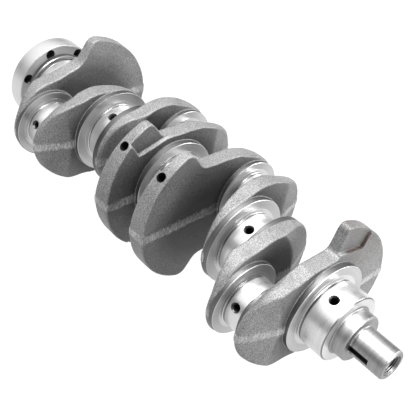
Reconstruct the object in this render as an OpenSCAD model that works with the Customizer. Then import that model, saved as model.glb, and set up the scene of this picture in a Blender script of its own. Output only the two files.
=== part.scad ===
// Forged crankshaft for an inline four-cylinder engine: five main journals,
// four crankpins and eight webs, four of them with counterweights.
// +X runs along the main bearing axis towards the nose, +Y and -Y are the two
// throw directions and +Z is normal to the plane of the throws. The origin is
// the centre of main journal 3. One steel forging, split here into its regions.

/* [Layout] */
// Distance between neighbouring main bearing centres
bore_pitch = 86; // [84:0.5:90]
// Crank throw, half the piston stroke
throw = 40.75; // [39:0.25:42]

/* [Journals] */
// Diameter of the main journals
main_d = 55; // [52:0.5:58]
// Length of a main journal between the web bosses
main_len = 22; // [20:0.5:23]
// Diameter of the crankpins
pin_d = 43; // [40:0.5:46]
// Length of a crankpin between the web bosses
pin_len = 18; // [17:0.5:19]
// Radius of the undercut that relieves each journal end
undercut_r = 1.5; // [1:0.1:1.6]
// Depth of that undercut below the journal surface
undercut_depth = 0.7; // [0.4:0.1:0.9]

/* [Oilways] */
// Diameter of the radial feed hole in a main journal
feed_d = 6; // [5:0.5:7]
// Diameter of the slanting oilway from a main journal to a crankpin
oilway_d = 5; // [4:0.5:6]
// Diameter of the countersunk mouth of every oil hole
oil_mouth_d = 8.4; // [8:0.1:9]
// Lean of the main feed holes from +Z towards -Y
feed_lean = 21; // [15:1:30]
// Lean of the crankpin holes from +Z towards the outside of the throw
pin_hole_lean = 60; // [55:1:65]

/* [Webs] */
// Height of the turned boss beside a main journal
main_boss_h = 3; // [2:0.5:3.5]
// Diameter of the turned boss beside a main journal
main_boss_d = 76; // [74:0.5:77]
// Height of the turned boss beside a crankpin
pin_boss_h = 2; // [1.5:0.5:2.5]
// Diameter of the turned boss beside a crankpin
pin_boss_d = 61; // [58:0.5:62]
// Radius of the plain web end around the main axis
heel_r = 38.8; // [38.2:0.1:41]
// Radius of the waist on the webs of crankpins 1 and 4
outer_waist_r = 41; // [40:0.5:43]
// Distance from the main axis to the centre of that radius
outer_waist_centre = 13; // [11:0.5:16]
// Radius of the waist on the webs of crankpins 2 and 3
inner_waist_r = 43; // [41:0.5:44]
// Distance from the main axis to the centre of that radius
inner_waist_centre = 20; // [18:0.5:22]
// Radius of the web end at crankpins 1 and 4
outer_toe_r = 38; // [36:0.5:38.5]
// Distance from the main axis to the centre of that radius
outer_toe_centre = 33.5; // [33:0.5:35]
// Radius of the web end at crankpins 2 and 3
inner_toe_r = 36.5; // [35:0.5:38]
// Distance from the main axis to the centre of that radius
inner_toe_centre = 35; // [34:0.5:36]
// Forging draft on the web faces, each side of the parting plane
draft = 2.5; // [1:0.5:3]
// Where the toe starts to thin on the main journal side
toe_bevel_from = 41; // [40:0.5:44]
// Slope of the toe bevel on the webs of crankpins 1 and 4
outer_toe_bevel = 21.5; // [16:0.5:23]
// Slope of the toe bevel on the webs of crankpins 2 and 3
inner_toe_bevel = 16.5; // [12:0.5:20]
// Radius about the crankpin where a plain web's heel starts to thin
heel_bevel_r = 49; // [48:0.5:52]
// Slope of the heel bevel
heel_bevel = 23; // [18:0.5:25]

/* [Counterweights] */
// Outer radius of the counterweights
cw_r = 66; // [64:0.5:68]
// Depth of the relief in each shoulder, on the main journal side
pocket_depth = 5.5; // [4:0.5:6]
// Diameter of the balance drilling in the two middle counterweights
balance_d = 8; // [7:0.5:9]
// Depth of the balance drilling
balance_depth = 14; // [10:1:16]
// Angle of the balance drilling from +Z towards the rim
balance_lean = 42.8; // [38:0.1:48]

/* [Nose] */
// Diameter of the timing gear seat
gear_seat_d = 38; // [36:0.5:40]
// Length of the timing gear seat
gear_seat_len = 11; // [9:0.5:13]
// Diameter of the nose that carries the pulley
nose_d = 24.4; // [24:0.1:26]
// Length of the nose
nose_len = 28.5; // [27:0.5:32]
// Tapping drill of the M16 x 1.5 pulley bolt thread
bolt_hole_d = 14.5; // [13:0.1:15]
// Depth of the bolt hole from the end of the nose
bolt_hole_depth = 36; // [32:1:38]
// Mouth of the bolt hole's countersink
bolt_mouth_d = 17.5; // [16.5:0.1:18.5]
// Width of the keyway
key_w = 5; // [4:0.5:6]
// Depth of the keyway below the nose surface
key_depth = 3; // [2.5:0.1:3.5]
// Length of the keyway, starting at the gear seat
key_len = 16.5; // [12:0.5:18]

/* [Rear flange] */
// Diameter of the flywheel flange, which the rear seal runs on
flange_d = 80; // [78:0.5:84]
// Thickness of the flange
flange_t = 16.5; // [14:0.5:18]
// Diameter of the flywheel bolt circle
bolt_circle_d = 69; // [67:0.5:70]
// Number of flywheel bolts
bolt_count = 7; // [5:1:8]
// Tapping drill of the M10 flywheel bolts
flange_hole_d = 8.5; // [8:0.1:9]
// Angle of the first flywheel bolt from +Y towards +Z
first_bolt = 50; // [45:1:52]
// Diameter of the pilot recess in the rear face
pilot_d = 34; // [30:0.5:40]
// Depth of the pilot recess
pilot_depth = 6; // [4:0.5:8]

/* [Hidden] */

$fn = 96;
eps = 0.01;
over = 1;
far = 90;
forged = "darkgray";
ground = "gainsboro";
turned = "silver";

// Axial layout, measured from the centre of main journal 3
main_x = [2 * bore_pitch, bore_pitch, 0, -bore_pitch, -2 * bore_pitch];
pin_x = [1.5 * bore_pitch, 0.5 * bore_pitch, -0.5 * bore_pitch, -1.5 * bore_pitch];
pin_side = [-1, 1, 1, -1];
main_face = main_len / 2 + main_boss_h;
pin_face = pin_len / 2 + pin_boss_h;
web_t = bore_pitch / 2 - main_face - pin_face;
front_overhang = 1;
front_x = main_x[0] + main_len / 2 + front_overhang;
nose_x = front_x + gear_seat_len;
end_x = nose_x + nose_len;
shoulder_len = 4.5;
flange_x = main_x[4] - main_len / 2 - shoulder_len;
shoulder_d = main_d + 2;
edge = 1;
turned_edge = 0.8;
undercut_inset = 0.2;
bolt_mouth_depth = 2.5;
oil_mouth_depth = 1.4;
boss_root = web_t / 3;

// Waist radius and centre, toe radius and centre, toe bevel
outer_arm = [outer_waist_r, outer_waist_centre, outer_toe_r, outer_toe_centre, outer_toe_bevel];
inner_arm = [inner_waist_r, inner_waist_centre, inner_toe_r, inner_toe_centre, inner_toe_bevel];
// A counterweight's corner on the rim, two steps down its flank, and where its
// shoulder meets the waist
front_shoulder = [-17, [5.5, -13], [8.5, -22], [20, 40.2]];
front_middle_shoulder = [-19, [8.5, -12.5], [15, -18], [18, 43]];
rear_middle_shoulder = [-20, [8.5, -12.5], [15, -18], [18, 43]];
rear_shoulder_shape = [-10, [8.5, -12.5], [15, -18], [20, 40.2]];
corner_drop = 1.5;
corner_step = 2.5;
// The reliefs: the foot and top of the outer end, and the height at the flank
pocket_foot = [-34, 37.7];
pocket_top = [-43, 52.5];
pocket_flank_z = 45.5;
pocket_overrun = 4;

// A turned body along X from x0 to x1
module turned_rod(x0, x1, d)
    translate([x0, 0, 0]) rotate([0, 90, 0]) cylinder(h = x1 - x0, d = d);

// The same with chamfered ends
module chamfered_rod(x0, x1, d, c0, c1)
    translate([x0, 0, 0]) rotate([0, 90, 0]) rotate_extrude()
        polygon([
            [0, 0], [d / 2 - c0, 0], [d / 2, c0],
            [d / 2, x1 - x0 - c1], [d / 2 - c1, x1 - x0], [0, x1 - x0]
        ]);

// A relief groove at the end of a journal; x is the plane of the boss
module undercut(x, d, towards)
    translate([x + towards * (undercut_r + undercut_inset), 0, 0]) rotate([0, 90, 0]) rotate_extrude()
        translate([d / 2 + undercut_r - undercut_depth, 0]) circle(r = undercut_r);

// The cone of a countersink in a surface at height z, run on past the surface
module countersink(z, d, mouth_d, depth)
    translate([0, 0, z - depth])
        cylinder(h = depth + over, d1 = d, d2 = mouth_d + (mouth_d - d) * over / depth);

function pin_port(i) = [
    pin_x[i],
    pin_side[i] * (throw + pin_d / 2 * sin(pin_hole_lean)),
    pin_d / 2 * cos(pin_hole_lean)
];

// The slanting drilling from main journal m to the port in crankpin i
module oilway(m, i) {
    start = [main_x[m], 0, 0];
    run = pin_port(i) - start;
    translate(start)
        rotate([0, acos(run[2] / norm(run)), atan2(run[1], run[0])])
            cylinder(h = norm(run) + over, d = oilway_d);
}

module main_port(m)
    translate([main_x[m], 0, 0]) rotate([feed_lean, 0, 0]) {
        cylinder(h = main_d / 2, d = feed_d);
        countersink(main_d / 2, feed_d, oil_mouth_d, oil_mouth_depth);
    }

module crankpin_mouth(i)
    translate([pin_x[i], pin_side[i] * throw, 0]) rotate([-pin_side[i] * pin_hole_lean, 0, 0])
        countersink(pin_d / 2, oilway_d, oil_mouth_d, oil_mouth_depth);

// Journals

module main_journal(m, x0, x1)
    difference() {
        turned_rod(x0, x1, main_d);
        undercut(x0, main_d, 1);
        undercut(x1, main_d, -1);
    }

module standard_main(m) main_journal(m, main_x[m] - main_len / 2, main_x[m] + main_len / 2);

module crankpin(i)
    difference() {
        translate([0, pin_side[i] * throw, 0]) difference() {
            turned_rod(pin_x[i] - pin_len / 2, pin_x[i] + pin_len / 2, pin_d);
            undercut(pin_x[i] - pin_len / 2, pin_d, 1);
            undercut(pin_x[i] + pin_len / 2, pin_d, -1);
        }
        crankpin_mouth(i);
    }

module main_journal_1() color(ground)
    difference() {
        chamfered_rod(main_x[0] - main_len / 2, front_x, main_d, 0, edge);
        undercut(main_x[0] - main_len / 2, main_d, 1);
        main_port(0);
        oilway(0, 0);
    }

module main_journal_2() color(ground)
    difference() {
        standard_main(1);
        main_port(1);
        oilway(1, 1);
    }

module main_journal_3() color(ground) standard_main(2);

module main_journal_4() color(ground)
    difference() {
        standard_main(3);
        main_port(3);
        oilway(3, 2);
        oilway(3, 3);
    }

module main_journal_5() color(ground) standard_main(4);

module crankpin_1() color(ground)
    difference() {
        crankpin(0);
        oilway(0, 0);
    }

module crankpin_2() color(ground)
    difference() {
        crankpin(1);
        oilway(1, 1);
    }

module crankpin_3() color(ground)
    difference() {
        crankpin(2);
        oilway(3, 2);
    }

module crankpin_4() color(ground)
    difference() {
        crankpin(3);
        oilway(3, 3);
    }

// Webs. A web is drawn with its main journal side at x = 0 and its crankpin
// towards +Y, then mirrored into place.

function mirrored(points) = [for (i = [len(points) - 1:-1:0]) [points[i][0], -points[i][1]]];

// The waist and toe that every web shares
module arm_outline(arm) {
    circle(r = heel_r);
    translate([arm[1], 0]) circle(r = arm[0]);
    translate([arm[3], 0]) circle(r = arm[2]);
}

module counterweight_outline(shoulder) {
    corner = shoulder[0];
    top = sqrt(cw_r * cw_r - corner * corner);
    upper = [
        [-far, far],
        [corner - corner_step, far],
        [corner - corner_step, top + eps],
        [corner + corner_step / 2, top - corner_drop],
        [corner + shoulder[1][0], top + shoulder[1][1]],
        [corner + shoulder[2][0], top + shoulder[2][1]],
        shoulder[3]
    ];
    intersection() {
        circle(r = cw_r);
        polygon(concat(upper, mirrored(upper)));
    }
}

module slab(height) rotate([90, 0, 90]) linear_extrude(height = height) children();

// Everything inside the two drafted faces
module drafted_space() {
    inset = far * tan(draft);
    translate([0, far, 0]) rotate([90, 0, 0]) linear_extrude(height = 2 * far)
        polygon([
            [0, 0], [inset, far], [web_t - inset, far],
            [web_t, 0], [web_t - inset, -far], [inset, -far]
        ]);
}

// Removes the main journal side of the toe
module toe_bevel_cut(slope)
    translate([0, toe_bevel_from, -far]) rotate([0, 0, -slope])
        translate([-far, 0, 0]) cube([far, far, 2 * far]);

// The space left by the sloping heel of a plain web
module heel_space() {
    growth = web_t / tan(heel_bevel);
    translate([0, throw, 0]) rotate([0, 90, 0])
        cylinder(h = web_t, r1 = heel_bevel_r + growth, r2 = heel_bevel_r);
}

module bosses() {
    turned_rod(-main_boss_h, boss_root, main_boss_d);
    translate([0, throw, 0]) turned_rod(web_t - boss_root, web_t + pin_boss_h, pin_boss_d);
}

module plain_web(arm) {
    difference() {
        intersection() {
            slab(web_t) arm_outline(arm);
            drafted_space();
            heel_space();
        }
        toe_bevel_cut(arm[4]);
    }
    bosses();
}

// The shoulder reliefs, cut from the main journal side
module shoulder_reliefs(shoulder) {
    inner = shoulder[0] + shoulder[2][0] + pocket_overrun;
    upper = [
        pocket_foot,
        pocket_top,
        [pocket_top[0], far],
        [inner, far],
        [inner, pocket_flank_z]
    ];
    translate([-eps, 0, 0]) slab(pocket_depth + eps) {
        polygon(upper);
        polygon(mirrored(upper));
    }
}

module counterweighted_web(shoulder, arm) {
    difference() {
        intersection() {
            slab(web_t) union() {
                arm_outline(arm);
                counterweight_outline(shoulder);
            }
            drafted_space();
        }
        toe_bevel_cut(arm[4]);
        shoulder_reliefs(shoulder);
    }
    bosses();
}

// Moves a web to the gap between main journal m and crankpin i
module place_web(m, i) {
    towards = pin_x[i] > main_x[m] ? 1 : -1;
    translate([main_x[m] + towards * main_face, 0, 0])
        mirror([towards > 0 ? 0 : 1, 0, 0])
            mirror([0, pin_side[i] > 0 ? 0 : 1, 0])
                children();
}

// A blind hole in the rim, to trim the balance of the finished crank
module balance_hole()
    translate([web_t / 2, 0, 0]) rotate([balance_lean, 0, 0])
        translate([0, 0, cw_r - balance_depth]) cylinder(h = balance_depth + far, d = balance_d);

module web_1() color(forged)
    difference() {
        place_web(0, 0) counterweighted_web(front_shoulder, outer_arm);
        oilway(0, 0);
    }

module web_2() color(forged) place_web(1, 0) plain_web(outer_arm);

module web_3() color(forged)
    difference() {
        place_web(1, 1) plain_web(inner_arm);
        oilway(1, 1);
    }

module web_4() color(forged)
    place_web(2, 1) difference() {
        counterweighted_web(front_middle_shoulder, inner_arm);
        balance_hole();
    }

module web_5() color(forged)
    place_web(2, 2) difference() {
        counterweighted_web(rear_middle_shoulder, inner_arm);
        balance_hole();
    }

module web_6() color(forged)
    difference() {
        place_web(3, 2) plain_web(inner_arm);
        oilway(3, 2);
    }

module web_7() color(forged)
    difference() {
        place_web(3, 3) plain_web(outer_arm);
        oilway(3, 3);
    }

module web_8() color(forged)
    place_web(4, 3) counterweighted_web(rear_shoulder_shape, outer_arm);

// Nose end

module bolt_hole() {
    turned_rod(end_x - bolt_hole_depth, end_x + over, bolt_hole_d);
    rotate([0, 90, 0]) countersink(end_x, bolt_hole_d, bolt_mouth_d, bolt_mouth_depth);
}

module gear_seat() color(turned)
    difference() {
        chamfered_rod(front_x, nose_x, gear_seat_d, 0, turned_edge);
        bolt_hole();
    }

module nose() color(turned)
    difference() {
        chamfered_rod(nose_x, end_x, nose_d, 0, edge);
        bolt_hole();
        translate([nose_x - over, -nose_d / 2 - over, -key_w / 2])
            cube([key_len + over, key_depth + over, key_w]);
    }

// Rear end

module rear_shoulder() color(turned) turned_rod(flange_x, flange_x + shoulder_len, shoulder_d);

module rear_flange() color(turned)
    difference() {
        chamfered_rod(flange_x - flange_t, flange_x, flange_d, edge, turned_edge);
        for (k = [0:bolt_count - 1])
            rotate([first_bolt + k * 360 / bolt_count, 0, 0])
                translate([0, bolt_circle_d / 2, 0])
                    turned_rod(flange_x - flange_t - over, flange_x + over, flange_hole_d);
        turned_rod(flange_x - flange_t - over, flange_x - flange_t + pilot_depth, pilot_d);
    }

rear_flange();
rear_shoulder();
main_journal_1();
main_journal_2();
main_journal_3();
main_journal_4();
main_journal_5();
crankpin_1();
crankpin_2();
crankpin_3();
crankpin_4();
web_1();
web_2();
web_3();
web_4();
web_5();
web_6();
web_7();
web_8();
gear_seat();
nose();
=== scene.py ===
"""The look of a forged crankshaft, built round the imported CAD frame.

Shapes are worked out in millimetres in the shared frame until solid() turns them
into Blender meshes in metres. X runs along the main bearing axis towards the nose,
Y lies in the plane of the throws and Z is normal to it. Materials, lights and the
camera are in metres.
"""

import math

import bmesh
import bpy
import numpy as np
from mathutils import Matrix, Vector


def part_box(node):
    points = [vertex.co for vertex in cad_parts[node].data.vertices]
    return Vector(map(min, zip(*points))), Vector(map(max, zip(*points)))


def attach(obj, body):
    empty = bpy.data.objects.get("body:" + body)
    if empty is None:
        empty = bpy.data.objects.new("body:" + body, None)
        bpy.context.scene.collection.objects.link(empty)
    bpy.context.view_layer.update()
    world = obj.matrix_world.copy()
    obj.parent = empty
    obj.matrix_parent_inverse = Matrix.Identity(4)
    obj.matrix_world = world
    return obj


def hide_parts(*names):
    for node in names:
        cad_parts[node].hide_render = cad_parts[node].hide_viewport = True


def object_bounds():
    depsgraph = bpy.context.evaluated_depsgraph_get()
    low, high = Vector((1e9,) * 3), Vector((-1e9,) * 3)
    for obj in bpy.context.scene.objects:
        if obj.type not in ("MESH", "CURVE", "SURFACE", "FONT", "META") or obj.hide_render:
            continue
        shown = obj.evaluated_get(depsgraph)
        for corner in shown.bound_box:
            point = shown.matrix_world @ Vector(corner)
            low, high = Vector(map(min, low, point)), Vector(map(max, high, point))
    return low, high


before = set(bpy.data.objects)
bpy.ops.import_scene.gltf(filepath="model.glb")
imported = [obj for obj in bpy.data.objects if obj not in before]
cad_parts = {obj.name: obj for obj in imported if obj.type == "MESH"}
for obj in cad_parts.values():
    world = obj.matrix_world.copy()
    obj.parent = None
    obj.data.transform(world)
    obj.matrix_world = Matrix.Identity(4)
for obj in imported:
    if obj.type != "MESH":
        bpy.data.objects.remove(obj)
cad_box = [list(corner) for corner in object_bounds()]

MM = 0.001


def span(node):
    """The lowest and highest corner of a CAD node, in millimetres."""
    low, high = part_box(node)
    return [v / MM for v in low], [v / MM for v in high]


def middle(node, axis):
    low, high = span(node)
    return (low[axis] + high[axis]) / 2


# ---------------------------------------------------------------- sizes

# Taken from the frame. Main journal 1 runs on past its bearing, so the middle of the
# bearing is worked out from the next two.
MAIN_X = [middle(f"main_journal_{k}", 0) for k in range(2, 6)]
MAIN_X.insert(0, 2 * MAIN_X[0] - MAIN_X[1])
PIN_X = [middle(f"crankpin_{k}", 0) for k in range(1, 5)]
PIN_Y = [middle(f"crankpin_{k}", 1) for k in range(1, 5)]
THROW = abs(PIN_Y[0])
MAIN_R = span("main_journal_3")[1][2]
MAIN_HALF = span("main_journal_3")[1][0] - MAIN_X[2]
PIN_R = span("crankpin_1")[1][2]
PIN_HALF = span("crankpin_1")[1][0] - PIN_X[0]
FRONT_X = span("main_journal_1")[1][0]
NOSE_X = span("nose")[0][0]
END_X = span("nose")[1][0]
SEAT_R = span("gear_seat")[1][2]
NOSE_R = span("nose")[1][2]
FLANGE_BACK = span("rear_flange")[0][0]
FLANGE_FRONT = span("rear_flange")[1][0]
FLANGE_R = span("rear_flange")[1][2]

# Web proportions, as in the CAD
MAIN_BOSS_R, MAIN_BOSS_H = 38.0, 3.0
PIN_BOSS_R, PIN_BOSS_H = 30.5, 2.0
MAIN_FACE = MAIN_HALF + MAIN_BOSS_H
PIN_FACE = PIN_HALF + PIN_BOSS_H
WEB_T = MAIN_X[0] - PIN_X[0] - MAIN_FACE - PIN_FACE
HEEL_R = 38.8
CW_R = 66.0
DRAFT = math.tan(math.radians(2.5))
# Waist radius and centre, toe radius and centre, and toe bevel, of the webs of
# crankpins 1 and 4 and of crankpins 2 and 3
OUTER_ARM = (41.0, 13.0, 38.0, 33.5, math.radians(21.5))
INNER_ARM = (43.0, 20.0, 36.5, 35.0, math.radians(16.5))
TOE_BEVEL_FROM = 41.0
HEEL_BEVEL_R, HEEL_BEVEL = 49.0, math.radians(23)
# How far up the arm and how far out the ledge under a counterweight's shoulder reaches
LEDGE_TO, LEDGE_R = 19.0, 58.0
# The relief in a shoulder: its lowest corner (Y, height), the slope of its floor, the
# direction its end wall faces, and its depth
POCKET_FOOT = (-34.0, 37.7)
POCKET_SLOPE = 0.235
POCKET_END = (0.8545, 0.5196)
POCKET_DEPTH = 5.5

# The crankpin side of the odd webs is set back, with a smaller boss than in the CAD
SMALL_PIN_BOSS_R = 25.5
# How far the crankpin side of each web's toe is rounded off along its flanks
FLANK_EDGES = (6.5, 2, 6.5, 2, 6.5, 2, 8.5, 2)

# Main journal, crankpin and shoulder of each web, counted from 0. A shoulder is the
# corner on the rim, the lean of the flank, and the height and fall of the ledge from
# the waist.
STEEP, SLANTED = math.radians(19), math.radians(34)
WEBS = [
    (0, 0, (-17, STEEP, 41.2, 0.05)),
    (1, 0, None),
    (1, 1, None),
    (2, 1, (-19, SLANTED, 44.8, 0.1)),
    (2, 2, (-20, SLANTED, 44.8, 0.1)),
    (3, 2, None),
    (3, 3, None),
    (4, 3, (-10, SLANTED, 46, 0.3)),
]
BALANCED_WEBS = (4, 5)

# The forging's skin lies this far inside the CAD, and by FLASH more away from the land
# left by trimming the flash, whose edge falls over a distance of FLASH_FALL
SKIN = 0.26
FLASH, FLASH_HALF, FLASH_FALL = 0.35, 3.4, 0.9
# Wavelengths and heights of the skin's unevenness and of the torn edge of that land
UNEVEN = (46, 17, 7), (0.15, 0.08, 0.03)
TORN = (14, 6, 3.2), (1.1, 0.9, 0.7)
# Waves of each length, and the range of their phases
WAVES_EACH = 3
PHASES = 6.28
WEB_SEED, TORN_SEED = 100, 50
# Rounding of a web's edges, and of its tips, with the Y where each change starts and ends
EDGE, TIP_EDGE = 1.0, 3.8
TOE_TIP, HEEL_TIP = (45, 67), (-15, -37)
FLANK_START, FLANK_END = (24, 38), (70, 60)
# How softly the surfaces of a web run into each other
OUTLINE_BLEND, RIM_BLEND, WEIGHT_BLEND = 3, 6, 4
CREASE = 1
POCKET_CORNER, POCKET_LIP = 1.2, 0.6
# The forged stubs inside the turned bosses: inset, edge, fillet and roots in the web
STUB_INSET, STUB_EDGE, STUB_FILLET = 0.4, 0.6, 1.4
MAIN_STUB_ROOT, PIN_STUB_ROOT = 4, 6

# Turned parts: how far they run into their neighbours, and the easing of their corners
OVERLAP = 0.3
BREAK = 0.3
# The end of a journal, where it sinks into an undercut and sweeps up the boss face:
# distance from the face, height over the journal, and fillet
JOURNAL_END = [(-OVERLAP, 3.2, 0), (0.05, 2.8, 0), (0.35, -0.7, 1.4), (2.2, -0.7, 0.3),
               (2.7, 0, 0.2)]
FRONT_CHAMFER, SEAT_CHAMFER = 0.9, 1
BOSS_BREAK, BOSS_FILLET = 0.35, 0.1
MAIN_BOSS_ROOT, PIN_BOSS_ROOT = 6, 5
STEP_ROOT, STEP_FILLET, STEP_RUN = 1, 1.2, 0.1
SEAL_RISE = 1

# Oil holes: lean from +Z in degrees and radius
OILED_MAINS = (1, 2, 4)
MAIN_OIL_LEAN, MAIN_OIL_R = 21, 3.0
PIN_OIL_LEAN, PIN_OIL_R = 60, 2.8
OIL_SHORT_OF_AXIS = 3
OIL_TIP, OIL_MOUTH, OIL_FLARE = 1.5, 1.5, 2.1

# Balance drilling: lean from +Z, depth, and its profile as (distance, radius, fillet)
BALANCE_LEAN = math.radians(42.8)
BALANCE_DEPTH = 15
BALANCE_DRILL = [(0, 0, 0), (2, 4, 0), (14.6, 4, 0), (18, 5.2, 0), (18, 0, 0)]

# Threads, bolt holes, keyway and pilot recess
THREAD_PITCH = 1.5
BOLT_DEPTH, BOLT_CORE_R, BOLT_THREAD_R = 36, 7.25, 7.95
BOLT_MOUTH_DEPTH, BOLT_MOUTH_R, BOLT_MOUTH_CORE_R = 1.9, 9.1, 7.2
KEYWAY_LENGTH, KEYWAY_HALF, KEYWAY_DEPTH = 16.5, 2.5, 3
FLANGE_HOLES, FIRST_FLANGE_HOLE, FLANGE_HOLE_CIRCLE_R = 7, 50, 34.5
FLANGE_CORE_R, FLANGE_THREAD_R = 4.25, 4.75
PILOT_R, PILOT_MOUTH, PILOT_DEPTH = 17, 0.8, 6


# ---------------------------------------------------------------- meshes

def solid(name, points, faces, material, smooth_angle=35):
    """A mesh object from points in millimetres, smooth below an edge angle in degrees."""
    mesh = bpy.data.meshes.new(name)
    metres = (np.asarray(points, float) * MM).tolist()
    mesh.from_pydata(metres, [], [list(map(int, f)) for f in faces])
    mesh.validate()
    bm = bmesh.new()
    bm.from_mesh(mesh)
    bmesh.ops.recalc_face_normals(bm, faces=bm.faces)
    bm.to_mesh(mesh)
    bm.free()
    piece = bpy.data.objects.new(name, mesh)
    bpy.context.scene.collection.objects.link(piece)
    mesh.materials.append(material)
    piece["smooth_angle"] = smooth_angle
    return piece


def finish_normals(piece):
    """Consistent outward normals, smooth shading and sharp creases."""
    mesh = piece.data
    bm = bmesh.new()
    bm.from_mesh(mesh)
    bmesh.ops.remove_doubles(bm, verts=bm.verts, dist=1e-6)
    bmesh.ops.recalc_face_normals(bm, faces=bm.faces)
    limit = math.radians(piece["smooth_angle"])
    for face in bm.faces:
        face.smooth = True
    for edge in bm.edges:
        edge.smooth = edge.calc_face_angle(0) < limit
    bm.to_mesh(mesh)
    bm.free()
    del piece["smooth_angle"]


def cut(piece, cutters):
    """Subtracts closed cutters from a closed piece, and removes them."""
    for cutter in cutters:
        modifier = piece.modifiers.new("cut", "BOOLEAN")
        modifier.operation = "DIFFERENCE"
        modifier.solver = "EXACT"
        modifier.material_mode = "TRANSFER"
        modifier.object = cutter
        depsgraph = bpy.context.evaluated_depsgraph_get()
        result = bpy.data.meshes.new_from_object(piece.evaluated_get(depsgraph))
        piece.modifiers.clear()
        old = piece.data
        piece.data = result
        bpy.data.meshes.remove(old)
        bpy.data.objects.remove(cutter)


def rounded(corners, steps=6):
    """A path through (x, r, fillet) corners, with each fillet as an arc of steps pieces."""
    path = []
    count = len(corners)
    for i, (x, r, fillet) in enumerate(corners):
        here = np.array([x, r], float)
        if fillet <= 0 or i in (0, count - 1):
            path.append(here)
            continue
        before = np.array(corners[i - 1][:2], float) - here
        after = np.array(corners[i + 1][:2], float) - here
        before /= np.linalg.norm(before)
        after /= np.linalg.norm(after)
        half = math.acos(np.clip(before @ after, -1, 1)) / 2
        reach = fillet / math.tan(half)
        bisector = (before + after) / np.linalg.norm(before + after)
        centre = here + bisector * fillet / math.sin(half)
        start, end = here + before * reach - centre, here + after * reach - centre
        for k in range(steps + 1):
            t = k / steps
            arm = start * (1 - t) + end * t
            path.append(centre + arm / np.linalg.norm(arm) * fillet)
    return path


def lathe(name, corners, material, centre_y=0.0, segments=160, smooth_angle=28):
    """A closed solid turned about the X axis, or about a crankpin's axis."""
    angles = np.arange(segments) * 2 * math.pi / segments
    points, rings = [], []
    for x, r in rounded(corners):
        if r < 1e-6:
            rings.append([len(points)])
            points.append((x, centre_y, 0))
        else:
            rings.append(list(range(len(points), len(points) + segments)))
            points += [(x, centre_y + r * math.cos(a), r * math.sin(a)) for a in angles]
    faces = []
    for a, b in zip(rings, rings[1:]):
        for k in range(segments):
            n = (k + 1) % segments
            if len(a) == 1:
                faces.append((a[0], b[k], b[n]))
            elif len(b) == 1:
                faces.append((a[k], b[0], a[n]))
            else:
                faces.append((a[k], b[k], b[n], a[n]))
    return solid(name, points, faces, material, smooth_angle)


def drill(start, direction, corners, material, segments=48):
    """A turned cutter along direction from start; corners are (distance, radius, fillet)."""
    tool = lathe("cutter", corners, material, segments=segments)
    turn = Vector((1, 0, 0)).rotation_difference(Vector(direction)).to_matrix().to_4x4()
    tool.data.transform(Matrix.Translation(Vector(start) * MM) @ turn)
    return tool


def thread_tool(x0, x1, minor_r, major_r, material, centre=(0, 0), segments=48):
    """A closed male thread along X, used to cut a tapped hole."""
    per_turn = 8
    rows = int((x1 - x0) / THREAD_PITCH * per_turn)
    points, faces = [], []
    for i in range(rows + 1):
        x = x0 + (x1 - x0) * i / rows
        for k in range(segments):
            angle = 2 * math.pi * k / segments
            phase = (x / THREAD_PITCH - k / segments) % 1
            r = minor_r + (major_r - minor_r) * (1 - abs(2 * phase - 1))
            points.append((x, centre[0] + r * math.cos(angle), centre[1] + r * math.sin(angle)))
    for i in range(rows):
        for k in range(segments):
            n = (k + 1) % segments
            a = i * segments
            b = a + segments
            faces.append((a + k, b + k, b + n, a + n))
    faces.append(tuple(range(segments)))
    faces.append(tuple(range(rows * segments + segments - 1, rows * segments - 1, -1)))
    return solid("cutter", points, faces, material)


# ---------------------------------------------------------------- forged webs

def blend_min(a, b, k):
    h = np.clip(0.5 + 0.5 * (b - a) / k, 0, 1)
    return b * (1 - h) + a * h - k * h * (1 - h)


def blend_max(a, b, k):
    return -blend_min(-a, -b, k)


def rise(value, start, end):
    """0 up to start, then evenly to 1 at end; end may lie below start."""
    return np.clip((value - start) / (end - start), 0, 1)


def waves(seed, lengths, heights):
    """Slow unevenness of a forged skin: a few sine waves in random directions."""
    own = np.random.default_rng(seed)
    parts = []
    for length, height in zip(lengths, heights):
        for _ in range(WAVES_EACH):
            direction = own.normal(size=3)
            direction *= 2 * math.pi / length / np.linalg.norm(direction)
            parts.append((direction, own.uniform(0, PHASES), height / WAVES_EACH))

    def field(x, y, z):
        return sum(h * np.sin(d[0] * x + d[1] * y + d[2] * z + p) for d, p, h in parts)

    return field


def web_outline(y, z, arm, shoulder):
    """Signed distance to a web's outline, seen along the crank."""
    waist_r, waist_y, toe_r, toe_y, _ = arm
    radius = np.hypot(y, z)
    outline = blend_min(radius - HEEL_R, np.hypot(y - waist_y, z) - waist_r, OUTLINE_BLEND)
    outline = blend_min(outline, np.hypot(y - toe_y, z) - toe_r, OUTLINE_BLEND)
    if shoulder is None:
        return outline
    corner, lean, foot, fall = shoulder
    height = np.abs(z)
    top = math.sqrt(CW_R**2 - corner**2)
    ledge = blend_max(height - foot + fall * y, y - LEDGE_TO, OUTLINE_BLEND)
    ledge = blend_max(ledge, radius - LEDGE_R, OUTLINE_BLEND)
    flank = (y - corner) * math.cos(lean) + (height - top) * math.sin(lean)
    weight = blend_max(radius - CW_R, flank, RIM_BLEND)
    return blend_min(blend_min(outline, ledge, OUTLINE_BLEND), weight, WEIGHT_BLEND)


def shoulder_pocket(x, y, height):
    """Signed distance to the relief in a counterweight's shoulder."""
    foot_y, foot_height = POCKET_FOOT
    floor = foot_height + (y - foot_y) * POCKET_SLOPE
    end = -POCKET_END[0] * (y - foot_y) - POCKET_END[1] * (height - foot_height)
    pocket = blend_max(x - POCKET_DEPTH, end, POCKET_CORNER)
    return blend_max(pocket, floor - height, POCKET_CORNER)


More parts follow.
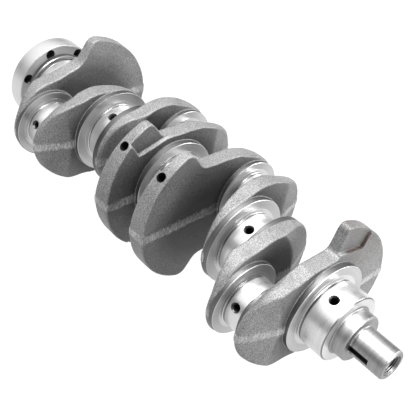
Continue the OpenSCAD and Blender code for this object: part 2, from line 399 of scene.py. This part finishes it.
def boss_stubs(x, y, z, pin_boss_r):
    """Signed distances to the forged stubs inside the main journal's and crankpin's bosses."""
    main = blend_max(np.hypot(y, z) - MAIN_BOSS_R + STUB_INSET,
                     STUB_INSET - MAIN_BOSS_H - x, STUB_EDGE)
    pin = blend_max(np.hypot(y - THROW, z) - pin_boss_r + STUB_INSET,
                    x - WEB_T - PIN_BOSS_H + STUB_INSET, STUB_EDGE)
    return (blend_max(main, x - MAIN_STUB_ROOT, CREASE),
            blend_max(pin, WEB_T - PIN_STUB_ROOT - x, CREASE))


def web_field(seed, arm, flank_edge, pin_boss_r, shoulder):
    """Signed distance to a web, with its main journal side at x = 0 and the crankpin at +y."""
    toe_bevel = arm[-1]
    slow = waves(seed, *UNEVEN)
    ragged = waves(seed + TORN_SEED, *TORN)

    def field(x, y, z):
        height = np.abs(z)
        bare = FLASH * np.clip((height - FLASH_HALF - ragged(x, y, 0 * z)) / FLASH_FALL, 0, 1)
        bare = bare + slow(x, y, z) + SKIN
        outline = web_outline(y, z, arm, shoulder) + bare
        main_side = height * DRAFT + bare - x
        toe = (y - TOE_BEVEL_FROM) * math.sin(toe_bevel) - x * math.cos(toe_bevel) + bare
        pin_side = x - WEB_T + height * DRAFT + bare
        tip = rise(y, *TOE_TIP)
        if shoulder is None:
            tip = np.maximum(tip, rise(y, *HEEL_TIP))
            reach = np.hypot(y - THROW, z) - HEEL_BEVEL_R
            heel = reach * math.sin(HEEL_BEVEL) + (x - WEB_T) * math.cos(HEEL_BEVEL) + bare
            pin_side = blend_max(pin_side, heel, CREASE)
        edge = EDGE + (TIP_EDGE - EDGE) * tip
        pin_edge = np.maximum(edge, flank_edge * (rise(y, *FLANK_START) * rise(y, *FLANK_END)))
        f = blend_max(outline, blend_max(main_side, toe, CREASE), edge)
        f = blend_max(f, pin_side, pin_edge)
        if shoulder is not None:
            f = blend_max(f, -shoulder_pocket(x, y, height), POCKET_LIP)
        for stub in boss_stubs(x, y, z, pin_boss_r):
            f = blend_min(f, stub, STUB_FILLET)
        return f

    return field


def net(field, low, high, pitch):
    """A quad mesh on the zero surface of field, by surface nets, then drawn on to the surface."""
    counts = [int(math.ceil((b - a) / pitch)) + 1 for a, b in zip(low, high)]
    axes = [a + pitch * np.arange(n) for a, n in zip(low, counts)]
    grid = np.stack(np.meshgrid(*axes, indexing="ij"), -1)
    value = field(grid[..., 0], grid[..., 1], grid[..., 2])
    inside = value < 0
    cells = tuple(n - 1 for n in counts)
    # One point for each cell that the surface passes through, at the mean of its crossings
    total = np.zeros(cells + (3,))
    hits = np.zeros(cells)
    corner_steps = [(i, j, k) for i in (0, 1) for j in (0, 1) for k in (0, 1)]
    for a in corner_steps:
        for axis in range(3):
            if a[axis]:
                continue
            b = tuple(v + (n == axis) for n, v in enumerate(a))
            at_a = tuple(slice(v, v + c) for v, c in zip(a, cells))
            at_b = tuple(slice(v, v + c) for v, c in zip(b, cells))
            crossing = inside[at_a] != inside[at_b]
            fall = np.where(crossing, value[at_a] - value[at_b], 1)
            share = np.where(crossing, value[at_a] / fall, 0)
            where = np.array(a, float) + share[..., None] * np.eye(3)[axis]
            total += where * crossing[..., None]
            hits += crossing
    active = hits > 0
    index = np.full(cells, -1)
    index[active] = np.arange(active.sum())
    centres = total[active] / hits[active][:, None]
    points = np.array(low) + pitch * (np.argwhere(active) + centres)
    return drawn_on(field, points, pitch), net_faces(inside, index)


def net_faces(inside, index):
    """One quad across each grid edge that the surface crosses, from the cells round it."""
    faces = []
    for axis in range(3):
        u, v = (axis + 1) % 3, (axis + 2) % 3
        first = [slice(None)] * 3
        second = [slice(None)] * 3
        first[axis], second[axis] = slice(0, -1), slice(1, None)
        change = inside[tuple(first)] != inside[tuple(second)]
        at = np.argwhere(change)
        low_enough = (at[:, u] < index.shape[u]) & (at[:, v] < index.shape[v])
        at = at[(at[:, u] > 0) & (at[:, v] > 0) & low_enough]
        quad = []
        for du, dv in ((1, 1), (0, 1), (0, 0), (1, 0)):
            cell = at.copy()
            cell[:, u] -= du
            cell[:, v] -= dv
            quad.append(index[tuple(cell.T)])
        quad = np.stack(quad, 1)
        flip = ~inside[tuple(at.T)]
        quad[flip] = quad[flip][:, ::-1]
        faces.append(quad)
    return np.concatenate(faces)


def drawn_on(field, points, pitch, pulls=4, step=0.05, least_slope=0.2):
    """Points pulled on to the zero surface along the field's slope."""
    for _ in range(pulls):
        x, y, z = points.T
        here = field(x, y, z)
        slope = np.stack([
            field(x + step, y, z) - field(x - step, y, z),
            field(x, y + step, z) - field(x, y - step, z),
            field(x, y, z + step) - field(x, y, z - step),
        ], 1) / (2 * step)
        move = here[:, None] * slope / np.maximum((slope**2).sum(1), least_slope)[:, None]
        points -= np.clip(move, -pitch / 2, pitch / 2)
    return points


def place(points, main_x, pin_x, pin_y):
    """Moves web points from their own frame to the gap between a journal and a crankpin."""
    towards = 1 if pin_x > main_x else -1
    side = 1 if pin_y > 0 else -1
    placed = np.array(points, float)
    placed[:, 0] = main_x + towards * (MAIN_FACE + placed[:, 0])
    placed[:, 1] *= side
    return placed


# ---------------------------------------------------------------- materials

def grey(value):
    return (value, value, value, 1)


class Nodes:
    """A short way to write a node material."""

    def __init__(self, name):
        self.material = bpy.data.materials.new(name)
        self.material.use_nodes = True
        self.tree = self.material.node_tree
        self.shader = self.tree.nodes["Principled BSDF"]
        self.place = self.add("ShaderNodeTexCoord").outputs["Object"]

    def add(self, kind, inputs=None, **settings):
        node = self.tree.nodes.new(kind)
        for key, value in settings.items():
            setattr(node, key, value)
        for key, value in (inputs or {}).items():
            self.put(node.inputs[key], value)
        return node

    def put(self, socket, value):
        if isinstance(value, bpy.types.NodeSocket):
            self.tree.links.new(value, socket)
        else:
            socket.default_value = value

    def math(self, operation, a, b=0.0):
        return self.add("ShaderNodeMath", {0: a, 1: b}, operation=operation).outputs[0]

    def plus(self, first, *others):
        for other in others:
            first = self.math("ADD", first, other)
        return first

    def times(self, first, *others):
        for other in others:
            first = self.math("MULTIPLY", first, other)
        return first

    def rest(self, value):
        """What is left of 1."""
        return self.math("SUBTRACT", 1.0, value)

    def absolute(self, value):
        return self.math("ABSOLUTE", value)

    def split(self, vector):
        node = self.add("ShaderNodeSeparateXYZ", {"Vector": vector})
        return node.outputs["X"], node.outputs["Y"], node.outputs["Z"]

    def radius(self, y, z):
        """Distance from the X axis."""
        return self.math("SQRT", self.plus(self.times(y, y), self.times(z, z)))

    def noise(self, vector, scale, detail, roughness):
        inputs = {"Vector": vector, "Scale": scale, "Detail": detail, "Roughness": roughness}
        return self.add("ShaderNodeTexNoise", inputs).outputs["Fac"]

    def vector(self, operation, a, b, output=0):
        node = self.add("ShaderNodeVectorMath", {0: a, 1: b}, operation=operation)
        return node.outputs[output]

    def ramp(self, value, low, high, to_low=0.0, to_high=1.0):
        inputs = {"Value": value, "From Min": low, "From Max": high,
                  "To Min": to_low, "To Max": to_high}
        return self.add("ShaderNodeMapRange", inputs).outputs["Result"]

    def swing(self, noise, amount, low=0.3, high=0.7):
        """A noise as a value between -amount, at low, and +amount, at high."""
        return self.ramp(noise, low, high, -amount, amount)

    def grey(self, tone):
        inputs = {"Red": tone, "Green": tone, "Blue": tone}
        return self.add("ShaderNodeCombineColor", inputs).outputs[0]

    def mix(self, factor, a, b):
        node = self.add("ShaderNodeMix", data_type="RGBA")
        self.put(node.inputs["Factor"], factor)
        self.put(node.inputs["A"], a)
        self.put(node.inputs["B"], b)
        return node.outputs["Result"]

    def bump(self, height, strength, distance):
        inputs = {"Height": height, "Strength": strength, "Distance": distance}
        return self.add("ShaderNodeBump", inputs).outputs["Normal"]

    def finish(self, **values):
        for key, value in values.items():
            self.put(self.shader.inputs[key.replace("_", " ")], value)
        return self.material


FORGED_TONE = 0.18
# Flat faces that look along the crank get painted shade, apart from the front web's: where
# that web starts along X, and the toe side of it along Y
FRONT_WEB = (MAIN_X[0] * MM - 0.024, MAIN_X[0] * MM - 0.016)
FRONT_TOE = (-0.01, 0.02)
# The rusted corner of the front relief, how far the rust spreads from it, and its colour
RUST_AT = (MAIN_X[0] * MM - 0.016, 0.036, 0.049)
RUST_REACH = (0.022, 0.034)
RUST = (0.05, 0.032, 0.024, 1)
RUST_COVER = 0.85


def painted_shade_left(n, x, y, radius, normal_x):
    """What painted shade leaves of the tone on the faces that look along the crank: darker near the
    journals and between the middle webs, and none on the front web.
    """
    flat = n.ramp(normal_x, 0.95, 0.99)
    front = n.times(n.ramp(x, *FRONT_WEB), n.ramp(y, *FRONT_TOE))
    outwards = n.ramp(radius, 0.037, 0.056, to_low=0.38, to_high=1)
    endwards = n.ramp(n.absolute(x), 0.035, 0.1, to_low=0.6, to_high=0.9)
    return n.rest(n.times(flat, n.rest(front), n.rest(n.times(outwards, endwards))))


def rust_cover(n, y, radius, normal_x):
    """How far rust covers the corners of the front counterweight's relief."""
    away = n.vector("DISTANCE", n.place, RUST_AT, "Value")
    frayed = n.plus(away, n.swing(n.noise(n.place, 260, 4, 0.7), 0.006))
    near = n.ramp(frayed, *RUST_REACH, to_low=1, to_high=0)
    wall = n.ramp(normal_x, 0.75, 0.97, to_low=1, to_high=0.22)
    inside = n.ramp(radius, 0.0625, 0.0655, to_low=1, to_high=0.35)
    return n.times(near, wall, inside, n.ramp(y, 0.015, 0.02), RUST_COVER)


def forged_steel():
    """Shot-blasted forging: coarse speckle, slow stains, painted shade on the flat faces and a torn
    bright line of flash.
    """
    n = Nodes("forged_steel")
    x, y, z = n.split(n.place)
    radius = n.radius(y, z)
    normal_x = n.absolute(n.split(n.add("ShaderNodeNewGeometry").outputs["Normal"])[0])
    speckle = n.noise(n.place, 1200, 3, 0.65)
    pits = n.noise(n.place, 2100, 2, 0.6)
    stains = n.noise(n.place, 38, 3, 0.5)
    tone = n.plus(n.swing(speckle, 0.1, 0.36, 0.64), n.swing(stains, 0.02, 0.35, 0.65), FORGED_TONE)
    # Painted shade: the flat faces are darkened near the journals and between the middle webs, not
    # on the front web
    tone = n.times(tone, painted_shade_left(n, x, y, radius, normal_x))
    # The line where the flash was trimmed, bright in streaks and patches
    ragged = n.noise(n.vector("MULTIPLY", n.place, (420, 420, 50)), 1, 4, 0.7)
    edge = n.plus(n.absolute(z), n.swing(ragged, 0.0018))
    torn = n.ramp(edge, 0.0024, 0.0042, to_low=1, to_high=0)
    streaks = n.noise(n.vector("MULTIPLY", n.place, (1100, 1100, 160)), 1, 3, 0.7)
    patches = n.noise(n.place, 70, 2, 0.5)
    fresh = n.times(n.ramp(streaks, 0.38, 0.62, to_low=0.04, to_high=0.34),
                    n.ramp(patches, 0.38, 0.6, to_low=0.45, to_high=1))
    tone = n.plus(tone, n.times(torn, fresh))
    colour = n.mix(rust_cover(n, y, radius, normal_x), n.grey(tone), RUST)
    bumps = n.plus(speckle, n.times(pits, 0.4), n.times(torn, streaks, 1.6))
    return n.finish(Base_Color=colour, Metallic=0.35,
                    Roughness=n.ramp(speckle, 0.3, 0.7, to_low=0.44, to_high=0.58),
                    Normal=n.bump(bumps, strength=0.4, distance=0.0005))


def drilled_painted_shade():
    """The walls of drillings and the keyway, painted dark as their shade, with a faint swirl."""
    n = Nodes("drilled_painted_shade")
    swirl = n.noise(n.place, 900, 3, 0.6)
    tone = n.ramp(swirl, 0.3, 0.7, to_low=0.05, to_high=0.12)
    return n.finish(Base_Color=n.grey(tone), Metallic=0.9, Roughness=0.5,
                    Normal=n.bump(swirl, strength=0.2, distance=0.0003))


def cut_steel(name, tone, roughness, centre_y=0.0, streak=0.04, anisotropic=0.0, metallic=0.94):
    """Machined steel with fine rings about its own turning axis."""
    n = Nodes(name)
    offset = n.vector("ADD", n.place, (0, -centre_y * MM, 0))
    x, y, z = n.split(offset)
    rings = n.add("ShaderNodeCombineXYZ", {"X": x, "Y": n.radius(y, z)}).outputs[0]
    fine = n.noise(rings, 2600, 2, 0.6)
    bands = n.noise(rings, 320, 3, 0.6)
    smear = n.noise(offset, 45, 3, 0.5)
    shade = n.plus(n.swing(fine, streak), n.swing(smear, 0.03), tone)
    rough = n.plus(n.swing(bands, 0.05), n.swing(smear, 0.03), roughness)
    tangent = n.add("ShaderNodeTangent", direction_type="RADIAL", axis="X").outputs[0]
    return n.finish(Base_Color=n.grey(shade), Metallic=metallic, Roughness=rough,
                    Anisotropic=anisotropic, Tangent=tangent,
                    Normal=n.bump(fine, strength=0.08, distance=0.0001))


FORGED = forged_steel()
# Painted shade on the walls of the oil holes, balance drillings, keyway and tapped flange holes
DRILLED_SHADE = drilled_painted_shade()
# Painted shade in the relief grooves of the journals
UNDERCUT_SHADE = cut_steel("undercut_painted_shade", 0.2, 0.35, metallic=1.0)
# Painted shade in the tapped hole of the nose and its mouth
BORE_SHADE = cut_steel("bore_painted_shade", 0.16, 0.45, metallic=1.0)
COLLAR = cut_steel("collar_steel", 0.13, 0.5, metallic=1.0)
# Finishes about the main axis (0) and about the crankpins at +Y (1) and -Y (-1)
GROUND = {
    0: cut_steel("ground_journals", 0.61, 0.31, metallic=0.84),
    1: cut_steel("ground_pins_plus", 0.61, 0.31, THROW, metallic=0.84),
    -1: cut_steel("ground_pins_minus", 0.61, 0.31, -THROW, metallic=0.84),
}
FACED = {
    0: cut_steel("faced_bosses", 0.5, 0.36, 0, 0.06, 0.5),
    1: cut_steel("faced_pin_bosses_plus", 0.5, 0.36, THROW, 0.06, 0.5),
    -1: cut_steel("faced_pin_bosses_minus", 0.5, 0.36, -THROW, 0.06, 0.5),
}
TURNED = cut_steel("turned_ends", 0.29, 0.4, 0, 0.08, 0.3, metallic=1.0)
FLANGE = cut_steel("flange_steel", 0.6, 0.36, 0, 0.05, 0.3, metallic=0.9)


# ---------------------------------------------------------------- pieces

def keep(piece, slot, *nodes):
    """A finished piece: it rides on the crank and stands for its CAD nodes."""
    finish_normals(piece)
    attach(piece, "root")
    if nodes:
        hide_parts(*nodes)
    return piece


def journal_path(x0, x1, radius, lip0, lip1):
    """A ground journal, with or without an undercut end where it meets a boss."""
    start, end = [(x0 - OVERLAP, radius, 0)], [(x1, radius, 0), (x1, 0, 0)]
    if lip0:
        start = [(x0 + d, radius + h, fillet) for d, h, fillet in JOURNAL_END]
    if lip1:
        end = [(x1 - d, radius + h, fillet) for d, h, fillet in reversed(JOURNAL_END)]
        end.append((x1 + OVERLAP, 0, 0))
    return [(x0 - OVERLAP, 0, 0)] + start + end


def chamfer(x, r, along, inward):
    """A turned corner cut off along the axis and inward, then the face down to the axis."""
    return [(x - along, r, BREAK), (x, r - inward, BREAK), (x, 0, 0)]


def step_up(x, r, flare):
    """The root of a turned step, from inside its neighbour to a fillet at its foot."""
    return [(x - STEP_ROOT, 0, 0), (x - STEP_ROOT, r + flare, 0), (x, r + flare, 0),
            (x + STEP_RUN, r, STEP_FILLET)]


def shade_undercuts(piece, centre_y, radius):
    """Gives the relief grooves of a journal a darker material: painted shade in the grooves."""
    mesh = piece.data
    mesh.materials.append(UNDERCUT_SHADE)
    for face in mesh.polygons:
        x, y, z = face.center / MM
        reach = math.hypot(y - centre_y, z)
        if radius * 0.8 < reach < radius - 0.2 and abs(face.normal.x) < 0.95:
            face.material_index = len(mesh.materials) - 1


def oil_hole(x, y, radius, lean, bore):
    """The cutter for a chamfered oil hole; lean turns it from +Z about the X axis, in degrees."""
    direction = (0, -math.sin(math.radians(lean)), math.cos(math.radians(lean)))
    depth = radius - OIL_SHORT_OF_AXIS
    start = (x, y + direction[1] * (radius - depth), direction[2] * (radius - depth))
    path = [(0, 0, 0), (OIL_TIP, bore, 0), (depth - OIL_MOUTH, bore, 0.4),
            (depth + 1, bore + OIL_FLARE, 0), (depth + 1, 0, 0)]
    return drill(start, direction, path, DRILLED_SHADE)


def build_journals():
    for k, x in enumerate(MAIN_X, 1):
        x0, x1 = x - MAIN_HALF, x + MAIN_HALF
        if k == 1:
            path = journal_path(x0, FRONT_X, MAIN_R, True, False)
            path[-2:] = chamfer(FRONT_X, MAIN_R, FRONT_CHAMFER, FRONT_CHAMFER)
        else:
            path = journal_path(x0, x1, MAIN_R, k < 5, True)
        piece = lathe(f"main_journal_{k}", path, GROUND[0])
        shade_undercuts(piece, 0, MAIN_R)
        if k in OILED_MAINS:
            cut(piece, [oil_hole(x, 0, MAIN_R, MAIN_OIL_LEAN, MAIN_OIL_R)])
        keep(piece, "ground_steel", f"main_journal_{k}")
    for k, (x, y) in enumerate(zip(PIN_X, PIN_Y), 1):
        side = 1 if y > 0 else -1
        path = journal_path(x - PIN_HALF, x + PIN_HALF, PIN_R, True, True)
        piece = lathe(f"crankpin_{k}", path, GROUND[side], centre_y=y)
        shade_undercuts(piece, y, PIN_R)
        cut(piece, [oil_hole(x, y, PIN_R, -side * PIN_OIL_LEAN, PIN_OIL_R)])
        keep(piece, "ground_steel", f"crankpin_{k}")


def collar(name, root, face, rim, material, centre_y):
    """The turned boss between a web and its journal: a faced end and a darker side."""
    turn = BOSS_BREAK if face > root else -BOSS_BREAK
    path = [(root, 0, 0), (root, rim, 0), (face - turn, rim, BOSS_FILLET),
            (face, rim - BOSS_BREAK, BOSS_FILLET), (face, 0, 0)]
    piece = lathe(name, path, material, centre_y=centre_y)
    piece.data.materials.append(COLLAR)
    for side in piece.data.polygons:
        if abs(side.normal.x) < 0.5:
            side.material_index = 1
    keep(piece, "turned_steel")


def balance_drill(x):
    """The cutter for the balance drilling in the rim of a counterweight."""
    direction = (0, -math.sin(BALANCE_LEAN), math.cos(BALANCE_LEAN))
    floor_r = CW_R - BALANCE_DEPTH
    start = (x, direction[1] * floor_r, direction[2] * floor_r)
    return drill(start, direction, BALANCE_DRILL, DRILLED_SHADE)


def build_webs():
    pitch = 0.85
    for k, (m, p, shoulder) in enumerate(WEBS, 1):
        arm = OUTER_ARM if p in (0, 3) else INNER_ARM
        pin_boss_r = SMALL_PIN_BOSS_R if k % 2 else PIN_BOSS_R
        lowest = -HEEL_R - 3 if shoulder is None else -CW_R - 2
        half_height = arm[0] + 3 if shoulder is None else CW_R
        low = (-MAIN_BOSS_H - 2, lowest, -half_height)
        high = (WEB_T + PIN_BOSS_H + 2, arm[3] + arm[2] + 3, half_height)
        field = web_field(WEB_SEED + k, arm, FLANK_EDGES[k - 1], pin_boss_r, shoulder)
        points, faces = net(field, low, high, pitch)
        placed = place(points, MAIN_X[m], PIN_X[p], PIN_Y[p])
        piece = solid(f"web_{k}", placed, faces, FORGED, 60)
        towards = 1 if PIN_X[p] > MAIN_X[m] else -1
        side = 1 if PIN_Y[p] > 0 else -1
        if k in BALANCED_WEBS:
            cut(piece, [balance_drill(MAIN_X[m] + towards * (MAIN_FACE + WEB_T / 2))])
        keep(piece, "forged_steel", f"web_{k}")
        face = MAIN_X[m] + towards * MAIN_HALF
        root = face + towards * MAIN_BOSS_ROOT
        collar(f"web_{k}_main_boss", root, face, MAIN_BOSS_R, FACED[0], 0)
        face = PIN_X[p] - towards * PIN_HALF
        root = face - towards * PIN_BOSS_ROOT
        collar(f"web_{k}_pin_boss", root, face, pin_boss_r, FACED[side], PIN_Y[p])


def keyway():
    """The cutter for the slot in the -Y side of the nose."""
    low = Vector((NOSE_X - 1, -NOSE_R - 2, -KEYWAY_HALF))
    high = Vector((NOSE_X + KEYWAY_LENGTH, -NOSE_R + KEYWAY_DEPTH, KEYWAY_HALF))
    corners = [(x, y, z) for x in (low.x, high.x) for y in (low.y, high.y) for z in (low.z, high.z)]
    sides = [(0, 1, 3, 2), (4, 6, 7, 5), (0, 4, 5, 1), (2, 3, 7, 6), (0, 2, 6, 4), (1, 5, 7, 3)]
    return solid("cutter", corners, sides, DRILLED_SHADE)


def build_nose():
    path = step_up(FRONT_X, SEAT_R, 1.6) + chamfer(NOSE_X, SEAT_R, SEAT_CHAMFER, SEAT_CHAMFER)
    seat = lathe("gear_seat", path, TURNED)
    path = step_up(NOSE_X, NOSE_R, 1.4) + chamfer(END_X, NOSE_R, 1.4, 1.1)
    nose = lathe("nose", path, TURNED)
    for piece in (seat, nose):
        cut(piece, [thread_tool(END_X - BOLT_DEPTH, END_X + 2, BOLT_CORE_R, BOLT_THREAD_R, BORE_SHADE)])
    inner_x, outer_x = END_X - BOLT_MOUTH_DEPTH, END_X + 0.5
    mouth = [(inner_x, 0, 0), (inner_x, BOLT_MOUTH_CORE_R, 0), (outer_x, BOLT_MOUTH_R, 0),
             (outer_x, 0, 0)]
    cut(nose, [lathe("cutter", mouth, BORE_SHADE, segments=96)])
    cut(nose, [keyway()])
    keep(seat, "turned_steel", "gear_seat")
    keep(nose, "turned_steel", "nose")


def build_rear():
    journal_end = MAIN_X[4] - MAIN_HALF
    seal_r, root_r = MAIN_R + SEAL_RISE, MAIN_R + 4
    path = [(journal_end + OVERLAP, 0, 0), (journal_end + OVERLAP, MAIN_R, 0),
            (journal_end - 0.1, seal_r, 0), (FLANGE_FRONT + 0.1, seal_r, 2.2),
            (FLANGE_FRONT, root_r, 0), (FLANGE_FRONT - 0.5, root_r, 0), (FLANGE_FRONT - 0.5, 0, 0)]
    keep(lathe("rear_shoulder", path, TURNED), "turned_steel", "rear_shoulder")
    path = chamfer(FLANGE_BACK, FLANGE_R, -1, 1)[::-1] + chamfer(FLANGE_FRONT, FLANGE_R, 0.8, 0.8)
    flange = lathe("rear_flange", path, FLANGE)
    cutters = []
    for k in range(FLANGE_HOLES):
        angle = math.radians(FIRST_FLANGE_HOLE + k * 360 / FLANGE_HOLES)
        centre = (FLANGE_HOLE_CIRCLE_R * math.cos(angle), FLANGE_HOLE_CIRCLE_R * math.sin(angle))
        cutters.append(thread_tool(FLANGE_BACK - 2, FLANGE_FRONT + 2, FLANGE_CORE_R,
                                   FLANGE_THREAD_R, DRILLED_SHADE, centre, 32))
    recess = [(FLANGE_BACK - 1, 0, 0), (FLANGE_BACK - 1, PILOT_R + PILOT_MOUTH, 0),
              (FLANGE_BACK + PILOT_MOUTH, PILOT_R, 0), (FLANGE_BACK + PILOT_DEPTH, PILOT_R, 0.8),
              (FLANGE_BACK + PILOT_DEPTH, 0, 0)]
    cutters.append(lathe("cutter", recess, TURNED, segments=96))
    cut(flange, cutters)
    keep(flange, "turned_steel", "rear_flange")


build_journals()
build_webs()
build_nose()
build_rear()


# ---------------------------------------------------------------- camera, floor and light

AZIMUTH, ELEVATION, ROLL = (math.radians(a) for a in (44.96, 40.13, 7.29))
AIM = Vector((0.0310, 0, 0.0028))
DISTANCE = 0.657
FIELD_OF_VIEW = math.radians(28.25)
FLOOR_HALF = 60.0
FLOOR_TONE, FLOOR_GLOW = 0.04, 1.0
WORLD_STRENGTH = 0.18
# Name, place, aim, width and length, and power in watts
LIGHTS = [
    ("back_light", (-0.9, 0.0, 1.15), (-0.9, 0, 0), (2.2, 3.4), 30),
    ("overhead_light", (-0.05, -0.05, 1.2), (0, 0, 0), (0.45, 0.45), 29),
    ("right_light", (0.75, 0.1, 0.3), (0.1, 0, 0), (0.35, 0.35), 6),
    ("far_light", (0.45, 0.7, 0.35), (0.05, 0, 0), (0.35, 0.35), 4.5),
]


def build_camera():
    flat = math.cos(ELEVATION)
    back = Vector((math.sin(AZIMUTH) * flat, -math.cos(AZIMUTH) * flat, math.sin(ELEVATION)))
    right = Vector((math.cos(AZIMUTH), math.sin(AZIMUTH), 0))
    up = back.cross(right)
    rolled = right * math.cos(ROLL) + up * math.sin(ROLL)
    up = back.cross(rolled)
    camera = bpy.data.objects.new("camera", bpy.data.cameras.new("camera"))
    camera.data.angle = FIELD_OF_VIEW
    camera.data.clip_start = 0.01
    axes = Matrix((rolled, up, back)).transposed().to_4x4()
    camera.matrix_world = Matrix.Translation(AIM + back * DISTANCE) @ axes
    bpy.context.scene.collection.objects.link(camera)
    bpy.context.scene.camera = camera


def build_floor():
    level = cad_box[0][2]
    signs = [(-1, -1), (1, -1), (1, 1), (-1, 1)]
    corners = [(x * FLOOR_HALF, y * FLOOR_HALF, level) for x, y in signs]
    mesh = bpy.data.meshes.new("floor")
    mesh.from_pydata(corners, [], [(0, 1, 2, 3)])
    floor = bpy.data.objects.new("floor", mesh)
    bpy.context.scene.collection.objects.link(floor)
    material = Nodes("floor").finish(Base_Color=grey(FLOOR_TONE), Roughness=1.0,
                                     Emission_Color=grey(1), Emission_Strength=FLOOR_GLOW)
    mesh.materials.append(material)


def softbox(name, place_at, aim, size, power):
    light = bpy.data.lights.new(name, "AREA")
    light.shape = "RECTANGLE"
    light.size, light.size_y = size
    light.energy = power
    lamp = bpy.data.objects.new(name, light)
    lamp.location = place_at
    lamp.rotation_euler = (Vector(aim) - Vector(place_at)).to_track_quat("-Z", "Y").to_euler()
    bpy.context.scene.collection.objects.link(lamp)


def build_light():
    for settings in LIGHTS:
        softbox(*settings)
    world = bpy.data.worlds.new("studio")
    world.use_nodes = True
    background = world.node_tree.nodes["Background"]
    background.inputs["Color"].default_value = grey(1)
    background.inputs["Strength"].default_value = WORLD_STRENGTH
    bpy.context.scene.world = world
    bpy.context.scene.view_settings.view_transform = "Standard"


build_camera()
build_floor()
build_light()
